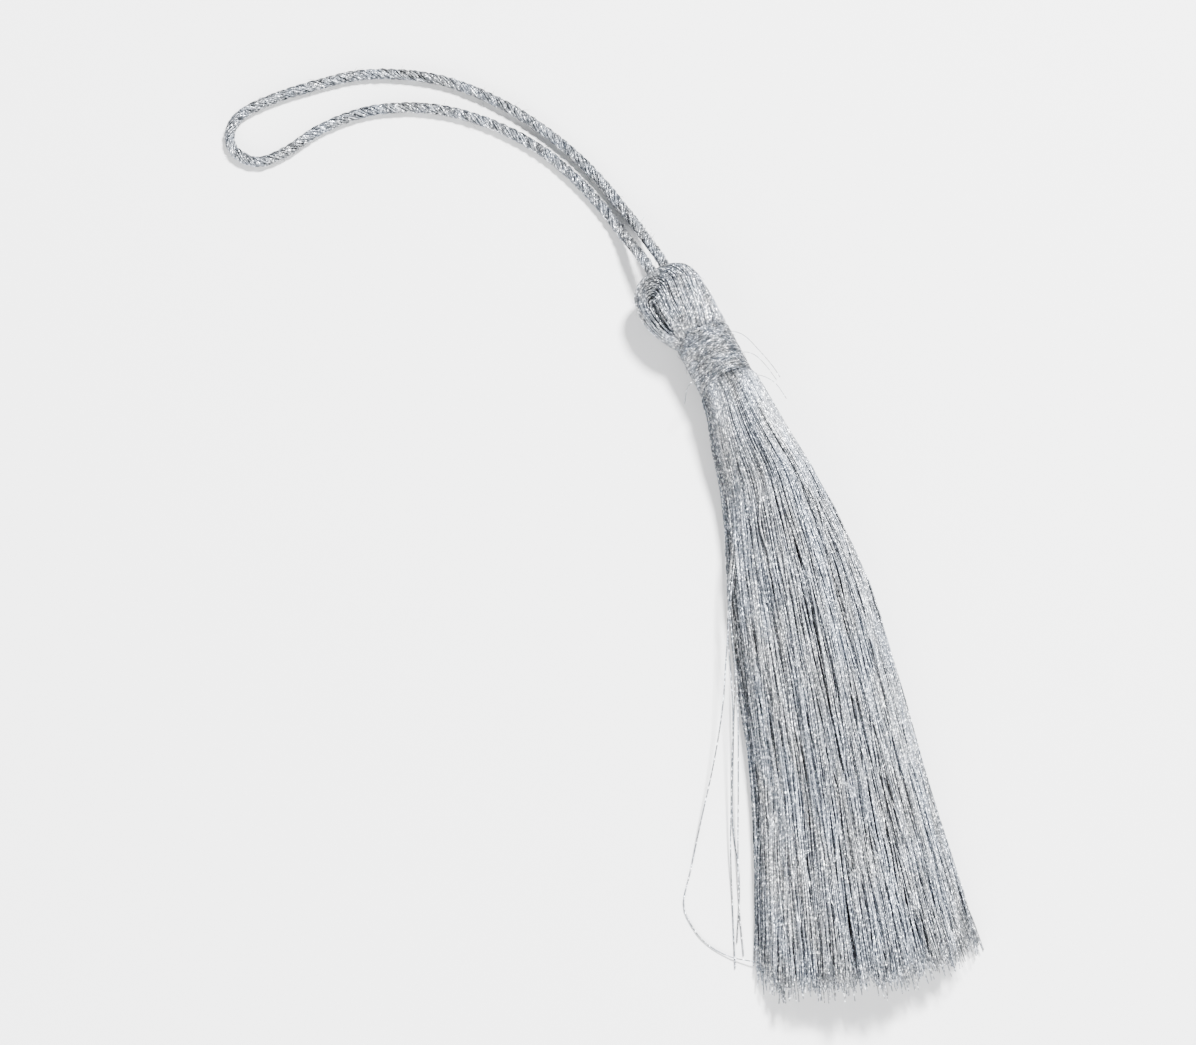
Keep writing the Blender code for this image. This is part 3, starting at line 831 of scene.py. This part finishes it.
def head_loops(settings, chance, depth):
    """Folded threads: up one side of the head, over the crown and down the other side."""
    loops = settings.loops
    share = ((np.arange(loops) + 0.5 + chance.uniform(-OFF_PLACE, OFF_PLACE, loops)) / loops)[:, None]
    leg = np.linspace(LOOPS_START, DOME_START, LEG_POINTS)[None, :]
    even_turn = math.pi * np.linspace(0.0, 1.0, 2 * LEG_POINTS)[None, 1:-1]
    turn_over = math.pi * (0.5 - 0.5 * np.cos(even_turn))
    leg_angle = fold_angle(share, eased((leg - GAPS_START) / GAPS_STRETCH))
    leg_x1 = np.cos(leg_angle)
    leg_x2 = np.sin(leg_angle)
    over_angle = fold_angle(share, 1.0 - GAPS_CLOSE * np.sin(turn_over) ** 2)
    over_x1 = np.cos(over_angle)
    over_x2 = np.sin(over_angle) * np.cos(turn_over)
    out = np.clip(np.sqrt(over_x1**2 + over_x2**2), 0.0, 1.0)
    scale = 1.0 - depth / HALF_HEAD
    x1 = np.concatenate((leg_x1, over_x1, leg_x1[:, ::-1]), axis=1) * scale
    x2 = np.concatenate((leg_x2, over_x2, -leg_x2[:, ::-1]), axis=1) * scale
    leg_along = leg * np.ones_like(share)
    over_along = DOME_START + dome_height(out, depth)
    along = np.concatenate((leg_along, over_along, leg_along[:, ::-1]), axis=1)
    place = np.linspace(0.0, LOOP_LENGTH, along.shape[1])[None, :] * np.ones_like(share)
    free = eased((along - FREE_FROM) / FREEING_STRETCH)
    x2 = x2 + free * wandering(chance, place, ACROSS_FOLD_WAVES)
    x1 = x1 + free * wandering(chance, place, ALONG_FOLD_WAVES)
    turn = settings.fold_turn - FOLD_TWIST * (np.clip(along, *TURNED_STRETCH) - UNTURNED_PLACE)
    paths = part_at_cord(head_point(x1, x2, along, turn), along)
    up, down = paths[:, :LEG_POINTS], paths[:, -LEG_POINTS:]
    over = paths[:, LEG_POINTS - 1:-LEG_POINTS + 1]
    in_leg = LOOP_RINGS // 5
    pieces = (
        evenly(up, in_leg)[:, :-1], evenly(over, LOOP_RINGS - 2 * in_leg + 2),
        evenly(down, in_leg)[:, 1:])
    return np.concatenate(pieces, axis=1)


def part_at_cord(paths, along):
    """Moves the crown's threads aside where the cord's two legs go in between them."""
    near_crown = eased((along - PARTED_FROM) / PARTING_STRETCH)[..., None]
    for leg in (CORD_ROUTE[0], CORD_ROUTE[-1]):
        offset = paths - leg
        offset -= (offset @ UP_THE_HEAD)[..., None] * UP_THE_HEAD
        away = np.linalg.norm(offset, axis=-1, keepdims=True) + 1e-6
        wanted = (away**3 + PARTED_FOR_CORD**3) ** (1.0 / 3.0)
        paths = paths + offset / away * (wanted - away) * near_crown
    return paths


def head_core(material):
    """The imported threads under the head's outer loops, as one body with a rib for each thread."""
    sides = np.arange(2 * CORE_RIBS)
    around = 2.0 * math.pi * sides / len(sides)
    rise = np.linspace(0.0, math.pi / 2.0, CORE_RINGS)
    dome_out = np.concatenate((np.cos(rise[1:-1]), [CORE_TOP]))
    out = np.concatenate((np.ones(CORE_RINGS), dome_out))
    dome = DOME_START + dome_height(dome_out, CORE_DEPTH)
    along = np.concatenate((np.linspace(CORE_START, DOME_START, CORE_RINGS), dome))
    reach = CORE_SHARE + CORE_RIB_HEIGHT * (sides % 2)
    x1 = out[:, None] * reach * np.cos(around)
    x2 = out[:, None] * reach * np.sin(around)
    points = head_point(x1, x2, along[:, None] * np.ones(len(sides)), 0.0)
    number = np.arange(points[..., 0].size).reshape(len(along), -1)
    walls = tube_walls(number)
    rib = sides / 2.0
    cap_uvs = np.zeros((2 * len(sides), 2))
    uvs = np.concatenate((wall_uvs(walls, rib, 0.5, along), cap_uvs))
    faces = (walls.reshape(-1, 4), number[:1, ::-1], number[-1:])
    tints = np.tile(np.floor(rib) * CORE_TONE_STEP % 1.0, len(along))
    return new_piece("head_core", points.reshape(-1, 3), faces, uvs, tints, material)


# --- Fibre ends ----------------------------------------------------------------------------------

# A fibre end: the least and the most of its length, its lift and its curl, how far it droops again,
# how deep it is rooted, its radius there, how much thinner its tip is, how near it comes to the
# surface, and its rings.
FIBRE_LENGTHS = (0.4, 1.2)
FIBRE_LIFTS = (0.3, 0.9)
FIBRE_CURLS = (-0.4, 0.4)
FIBRE_DROOP = 0.55
FIBRE_ROOT = 0.06
FIBRE_RADIUS = 0.032
FIBRE_TAPER = 0.6
FIBRE_NEAREST = 0.04
FIBRE_RINGS = 8
# How many stand off the cord, the head and the binding. How many of the cord's rings are left free at
# its ends, and which rings of the head's threads have some. How far out they are rooted: in the cord
# as a share of a ply's radius, and in the binding in millimetres.
CORD_FIBRES, HEAD_FIBRES, BINDING_FIBRES = 130, 60, 50
CLEAR_OF_CORD_ENDS = 20
HEAD_FIBRE_RINGS = (6, 52)
OUT_OF_CORD = 1.75
OUT_OF_BINDING = 3.22
# The share of its lean along the head that each of the head's fibre ends loses.
LOST_LEAN = 0.6


def fibre_ends(bases, outward, chance):
    """Short curved fibre ends that start just inside a surface and stand off it."""
    count = len(bases)
    aside = chance.normal(0.0, 1.0, (count, 3))
    aside -= outward * np.sum(aside * outward, axis=1, keepdims=True)
    aside /= np.linalg.norm(aside, axis=1, keepdims=True)
    t = np.linspace(0.0, 1.0, FIBRE_RINGS)[None, :, None]
    length = chance.uniform(*FIBRE_LENGTHS, (count, 1, 1))
    lift = chance.uniform(*FIBRE_LIFTS, (count, 1, 1)) * (t - FIBRE_DROOP * t * t)
    curl = chance.uniform(*FIBRE_CURLS, (count, 1, 1)) * t * t
    other = np.cross(aside, outward)
    offset = aside[:, None] * t + outward[:, None] * lift + other[:, None] * curl
    return bases[:, None] - outward[:, None] * FIBRE_ROOT + length * offset


def fibre_piece(name, bases, outward, chance, material):
    """One piece of tapering fibre ends, kept off the surface that the tassel lies on."""
    paths = rest_on_surface(fibre_ends(bases, outward, chance), FIBRE_NEAREST)
    taper = FIBRE_RADIUS * (1.0 - FIBRE_TAPER * np.linspace(0.0, 1.0, FIBRE_RINGS))
    return thread_piece(name, paths, taper * np.ones((len(paths), 1)), 3, chance, material)


# --- Hanging loop --------------------------------------------------------------------------------

# How far the cord goes into the head beyond its route, the points that its length is measured with,
# how far apart its rings are, how near a thread's middle may come to the surface, its seed, and its
# plies.
INTO_THE_HEAD = 1.0
MEASURING_POINTS = 2000
CORD_RING_SPACING = 0.16
CORD_NEAREST = 0.03
CORD_SEED = 31
PLIES = 2
# A ply: its core's share of its radius, the radius of its threads, one turn of them round it, how far
# inside the ply's radius they pass across the cord, and how far outside it they pass sideways.
PLY_CORE_SHARE = 0.66
PLY_THREAD_RADIUS = 0.105
PLY_TURN = 3.1
INSIDE_PLY, OUTSIDE_PLY = 0.1, 0.05
# How a ply's threads wander round it and how they rise and sink, as waves' lengths and reaches.
ROUND_PLY_WAVE = (5.3, 0.3)
RISING_WAVES = ((3.1, 0.05), (0.83, 0.05))


def started_wave(along, length, reach, chance):
    """A wave along the cord that starts anywhere in its length."""
    return reach * np.sin(2.0 * math.pi * (along / length + chance.random()))


def cord_ply(cord, first_turn, centre, side, up, along, chance):
    """Paths of one ply of the cord: its core, and the threads that are twisted round it."""
    ply_radius = cord.thickness / MM / 4.0
    turn = 2.0 * math.pi * along / (cord.lay / MM) + first_turn
    out = np.cos(turn)[:, None] * side + np.sin(turn)[:, None] * up
    core = centre + out * ply_radius
    ahead, _, _ = (part[0] for part in frames_along(core[None]))
    sideways = np.cross(ahead, out)
    sideways /= np.linalg.norm(sideways, axis=1, keepdims=True)
    outward = np.cross(sideways, ahead)
    paths = [core]
    for number in range(cord.threads_in_a_ply):
        angle = 2.0 * math.pi * (number / cord.threads_in_a_ply - along / PLY_TURN)
        angle += started_wave(along, *ROUND_PLY_WAVE, chance)
        uneven = sum(started_wave(along, *wave, chance) for wave in RISING_WAVES)
        out_reach = (ply_radius - INSIDE_PLY) * np.cos(angle) * (1.0 + uneven)
        side_reach = (ply_radius + OUTSIDE_PLY) * np.sin(angle) * (1.0 + uneven)
        paths.append(core + (out_reach[:, None] * outward + side_reach[:, None] * sideways))
    return paths


# --- Binding -------------------------------------------------------------------------------------

# The binding's thread: its radius, the rings in a turn of its closest layer, and its seed.
BINDING_THREAD_RADIUS = 0.08
RINGS_IN_A_TURN = 44
BINDING_SEED = 6
# Its layers, from the lowest: how far out each lies, its turns, or none where the settings say them,
# where it starts, from 1 at the head's end to -1 at the skirt's, and how far it wanders along the neck.
BINDING_LAYERS = (
    (2.75, None, 1.0, 0.02),
    (2.89, None, -1.0, 0.02),
    (3.03, 42, 1.0, 0.03),
    (3.13, 42, -1.0, 0.05),
    (3.2, 36, 0.99, 0.1),
)
# The waves in which a layer wanders, as waves in a turn and start, how many radians they slip in a
# turn, and what their sum is divided by.
BINDING_WAVES = ((1.013, 0.6), (2.037, 5.1), (0.521, 12.0))
WAVE_SLIP = 0.35
WAVE_DIVISOR = 1.6
# How a layer rises and sinks: the reach of a fine and of a slow wave, each with its waves in a turn,
# and how far the fine one is shifted for each millimetre that the layer lies further out.
FINE_RISE, FINE_WAVES = 0.025, 7.3
SLOW_RISE, SLOW_WAVES = 0.02, 3.1
FINE_SHIFT = 40.0
UPWARD = np.array((0.0, 0.0, 1.0))


def wound_layer(out, turns, start, wander, rings):
    """Path of one layer of the binding's thread, from one end of the binding to the other."""
    share = np.linspace(0.0, 1.0, rings)
    angle = 2.0 * math.pi * turns * share * math.copysign(1.0, -start)
    along = start - 2.0 * start * share
    turns_made = turns * share
    for cycles, phase in BINDING_WAVES:
        wave = np.sin(2.0 * math.pi * turns_made * cycles + phase + WAVE_SLIP * turns_made)
        along = along + wander * wave / WAVE_DIVISOR
    end = HALF_BINDING - BINDING_THREAD_RADIUS
    along = np.clip(along, -end, end)
    lift = out + FINE_RISE * np.sin(angle * FINE_WAVES + out * FINE_SHIFT)
    lift = lift + SLOW_RISE * np.sin(angle * SLOW_WAVES)
    flat = ACROSS_THE_HEAD * (lift * np.cos(angle))[:, None]
    path = NECK + UP_THE_HEAD * along[:, None] + flat
    path[:, 2] += lift * np.sin(angle)
    return path


# --- Stage ---------------------------------------------------------------------------------------

# The camera's sensor and lens in millimetres, and in metres how near it sees and where it looks.
SENSOR_WIDTH = 36.0
LENS_LENGTH = 160.0
NEAREST_SEEN = 0.01
LOOKED_AT = (-0.0185, 0.0165, 0.0)
# How far the surface reaches to each side, in metres, and how rough it is.
SURFACE_REACH = 1.5
SURFACE_ROUGHNESS = 0.85
# Each light's name, its place and its width in metres, and its power in watts.
LIGHTS = (
    ("key_light", (0.28, 0.31, 0.65), 0.17, 35.0),
    ("fill_light", (-0.42, -0.55, 0.4), 0.5, 13.0),
    ("front_light", (0.12, -0.7, 0.2), 0.4, 9.0),
)
STUDIO_COLOUR = (0.93, 0.96, 1.0, 1.0)
STUDIO_STRENGTH = 0.5


# --- Operators -----------------------------------------------------------------------------------


def settle(piece, node):
    """Gives the piece its place in the frame: its body, and hides the part it stands for."""
    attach(piece, "root")
    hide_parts(node)


class TASSEL_OT_stage(bpy.types.Operator):
    """Sets up the camera, the pale surface and the soft light"""

    bl_idname = "tassel.stage"
    bl_label = "Camera, surface and light"

    def execute(self, context):
        stage = context.scene.tassel.stage
        elevation, azimuth = stage.elevation, stage.azimuth
        back = Vector((
            math.sin(azimuth) * math.cos(elevation), -math.cos(azimuth) * math.cos(elevation),
            math.sin(elevation)))
        camera = bpy.data.cameras.new("camera")
        camera.sensor_width = SENSOR_WIDTH
        camera.lens = LENS_LENGTH
        camera.clip_start = NEAREST_SEEN
        viewer = bpy.data.objects.new("camera", camera)
        viewer.location = Vector(LOOKED_AT) + back * stage.distance
        viewer.rotation_euler = (-back).to_track_quat("-Z", "Y").to_euler()
        context.scene.collection.objects.link(viewer)
        context.scene.camera = viewer
        self.add_surface(context, stage)
        self.add_lights(context)
        return {"FINISHED"}

    def add_surface(self, context, stage):
        """A flat, pale surface under the tassel."""
        mesh = bpy.data.meshes.new("surface")
        low, high = -SURFACE_REACH, SURFACE_REACH
        corners = [(low, low, 0.0), (high, low, 0.0), (high, high, 0.0), (low, high, 0.0)]
        mesh.from_pydata(corners, [], [(0, 1, 2, 3)])
        material = bpy.data.materials.new("pale_surface")
        nodes = NodeTree(material)
        nodes.put(nodes.shader.inputs["Base Color"], (*stage.surface_colour, 1.0))
        nodes.put(nodes.shader.inputs["Roughness"], SURFACE_ROUGHNESS)
        mesh.materials.append(material)
        surface = bpy.data.objects.new("surface", mesh)
        context.scene.collection.objects.link(surface)

    def add_lights(self, context):
        """Three round studio lights and a pale surrounding."""
        for name, place, size, power in LIGHTS:
            light = bpy.data.lights.new(name, "AREA")
            light.shape = "DISK"
            light.size = size
            light.energy = power
            lamp = bpy.data.objects.new(name, light)
            lamp.location = place
            lamp.rotation_euler = Vector(place).to_track_quat("Z", "Y").to_euler()
            context.scene.collection.objects.link(lamp)
        world = bpy.data.worlds.new("studio")
        world.use_nodes = True
        background = world.node_tree.nodes["Background"]
        background.inputs["Color"].default_value = STUDIO_COLOUR
        background.inputs["Strength"].default_value = STUDIO_STRENGTH
        context.scene.world = world


class TASSEL_OT_cord(bpy.types.Operator):
    """Twists the hanging loop's cord from two plies of thread"""

    bl_idname = "tassel.cord"
    bl_label = "Hanging loop"

    def execute(self, context):
        settings = context.scene.tassel
        cord = settings.cord
        inside = UP_THE_HEAD * INTO_THE_HEAD
        route = np.concatenate(([CORD_ROUTE[0] - inside], CORD_ROUTE, [CORD_ROUTE[-1] - inside]))
        measured = smooth_route(route, MEASURING_POINTS)
        length = np.sum(np.linalg.norm(np.diff(measured, axis=0), axis=1))
        centre = smooth_route(route, int(length / CORD_RING_SPACING))
        _, side, up = (part[0] for part in frames_along(centre[None]))
        along = np.linspace(0.0, length, len(centre))
        chance = np.random.default_rng(CORD_SEED)
        paths = []
        for ply in range(PLIES):
            paths += cord_ply(cord, ply * math.pi, centre, side, up, along, chance)
        paths = rest_on_surface(np.array(paths), CORD_NEAREST)
        ply_radius = cord.thickness / MM / 4.0
        radii = [ply_radius * PLY_CORE_SHARE] + [PLY_THREAD_RADIUS] * cord.threads_in_a_ply
        radii = np.array(radii * PLIES)[:, None]
        material = thread_material("cord_thread", settings.thread, CORD_FINISH)
        piece = thread_piece("hanging_loop_cord", paths, radii, 4, chance, material)
        settle(piece, "hanging_loop")
        place = chance.integers(CLEAR_OF_CORD_ENDS, len(centre) - CLEAR_OF_CORD_ENDS, CORD_FIBRES)
        angle = chance.uniform(0.0, 2.0 * math.pi, CORD_FIBRES)[:, None]
        outward = np.cos(angle) * side[place] + np.sin(angle) * up[place]
        bases = centre[place] + outward * ply_radius * OUT_OF_CORD
        fibres = fibre_piece("cord_fibre_ends", bases, outward, chance, material)
        settle(fibres, "hanging_loop")
        return {"FINISHED"}


class TASSEL_OT_skirt(bpy.types.Operator):
    """Lays the skirt's threads, band by band, and the threads that stray from it"""

    bl_idname = "tassel.skirt"
    bl_label = "Skirt"

    def execute(self, context):
        settings = context.scene.tassel
        radius = settings.thread.thickness / MM / 2.0
        material = thread_material("skirt_thread", settings.thread, SKIRT_FINISH)
        for name, rows, first_rings, rings, sides, seed in SKIRT_BANDS:
            chance = np.random.default_rng(seed)
            paths = skirt_threads(rows, settings.skirt, chance, first_rings, rings)
            sizes = radius * chance.uniform(*THREAD_SIZES, (len(paths), 1)) * np.ones(rings)
            sizes[:, -1] *= CUT_END_SIZE
            paths = rest_on_surface(paths, radius)
            piece = thread_piece(name, paths, sizes, sides, chance, material)
            settle(piece, "yarn_hank")
        chance = np.random.default_rng(STRAY_SEED)
        routes = [smooth_route(np.array(route), STRAY_RINGS) for route in STRAY_ROUTES]
        paths = rest_on_surface(np.array(routes), radius)
        size = radius * STRAY_THICKNESS
        piece = thread_piece("skirt_stray_threads", paths, size, 4, chance, material)
        settle(piece, "yarn_hank")
        routes = [smooth_route(np.array(route), FLYAWAY_RINGS) for route in FLYAWAY_ROUTES]
        size = radius * FLYAWAY_THICKNESS
        piece = thread_piece("neck_fibre_ends", np.array(routes), size, 4, chance, material)
        settle(piece, "yarn_hank")
        return {"FINISHED"}


class TASSEL_OT_head(bpy.types.Operator):
    """Folds the head's threads over the crown, layer by layer"""

    bl_idname = "tassel.head"
    bl_label = "Head"

    def execute(self, context):
        settings = context.scene.tassel
        radius = settings.thread.thickness / MM / 2.0
        material = thread_material("head_thread", settings.thread, HEAD_FINISH)
        chance = np.random.default_rng(HEAD_SEED)
        layers = [head_loops(settings.head, chance, depth) for depth in HEAD_LAYERS]
        paths = rest_on_surface(np.concatenate(layers), radius)
        piece = thread_piece("head_loop_threads", paths, radius, 4, chance, material)
        settle(piece, "yarn_hank")
        on_thread = chance.integers(0, settings.head.loops, HEAD_FIBRES)
        on_ring = chance.integers(*HEAD_FIBRE_RINGS, HEAD_FIBRES)
        bases = paths[on_thread, on_ring]
        from_middle = bases - (NECK + UP_THE_HEAD * DOME_START)
        up_the_head = (from_middle @ UP_THE_HEAD)[:, None] * UP_THE_HEAD
        outward = from_middle - up_the_head * LOST_LEAN
        outward /= np.linalg.norm(outward, axis=1, keepdims=True)
        fibres = fibre_piece("head_fibre_ends", bases, outward, chance, material)
        settle(fibres, "yarn_hank")
        settle(head_core(material), "yarn_hank")
        return {"FINISHED"}


class TASSEL_OT_binding(bpy.types.Operator):
    """Winds the thread round the neck in tight layers that cross each other"""

    bl_idname = "tassel.binding"
    bl_label = "Neck binding"

    def execute(self, context):
        settings = context.scene.tassel
        chance = np.random.default_rng(BINDING_SEED)
        end = HALF_BINDING - BINDING_THREAD_RADIUS
        layers = [
            (out, turns or settings.binding.turns, end * start, wander)
            for out, turns, start, wander in BINDING_LAYERS]
        rings = RINGS_IN_A_TURN * max(turns for _, turns, _, _ in layers)
        paths = np.array([wound_layer(*layer, rings) for layer in layers])
        material = thread_material("binding_thread", settings.thread, BINDING_FINISH)
        piece = thread_piece("binding_turns", paths, BINDING_THREAD_RADIUS, 4, chance, material)
        settle(piece, "neck_binding")
        angle = chance.uniform(0.0, 2.0 * math.pi, BINDING_FIBRES)[:, None]
        outward = ACROSS_THE_HEAD * np.cos(angle) + UPWARD * np.sin(angle)
        along = UP_THE_HEAD * chance.uniform(-end, end, (BINDING_FIBRES, 1))
        bases = NECK + along + outward * OUT_OF_BINDING
        fibres = fibre_piece("binding_fibre_ends", bases, outward, chance, material)
        settle(fibres, "neck_binding")
        return {"FINISHED"}


class TASSEL_PT_panel(bpy.types.Panel):
    """The tassel's settings and the steps that make it"""

    bl_label = "Silk tassel"
    bl_idname = "TASSEL_PT_panel"
    bl_space_type = "VIEW_3D"
    bl_region_type = "UI"
    bl_category = "Tassel"

    def draw(self, context):
        """Shows a button for each step and a box for each group of settings."""
        tassel = context.scene.tassel
        for operator in OPERATORS:
            self.layout.operator(operator.bl_idname)
        for group in (tassel.thread, tassel.skirt, tassel.head, tassel.binding, tassel.cord,
                      tassel.stage):
            box = self.layout.box()
            for name in group.__annotations__:
                box.prop(group, name)


OPERATORS = (TASSEL_OT_stage, TASSEL_OT_cord, TASSEL_OT_binding, TASSEL_OT_head, TASSEL_OT_skirt)
CLASSES = (
    TasselThreadSettings, TasselSkirtSettings, TasselHeadSettings, TasselBindingSettings,
    TasselCordSettings, TasselStageSettings, TasselSettings, *OPERATORS, TASSEL_PT_panel,
)


def register():
    """Adds the tassel's settings, steps and panel to Blender."""
    for cls in CLASSES:
        bpy.utils.register_class(cls)
    bpy.types.Scene.tassel = PointerProperty(type=TasselSettings)


def unregister():
    """Takes the settings, the steps and the panel out of Blender again."""
    del bpy.types.Scene.tassel
    for cls in reversed(CLASSES):
        bpy.utils.unregister_class(cls)


def main():
    """Makes the tassel step by step."""
    register()
    bpy.ops.tassel.stage()
    bpy.ops.tassel.cord()
    bpy.ops.tassel.binding()
    bpy.ops.tassel.head()
    bpy.ops.tassel.skirt()


if __name__ == "__main__":
    main()
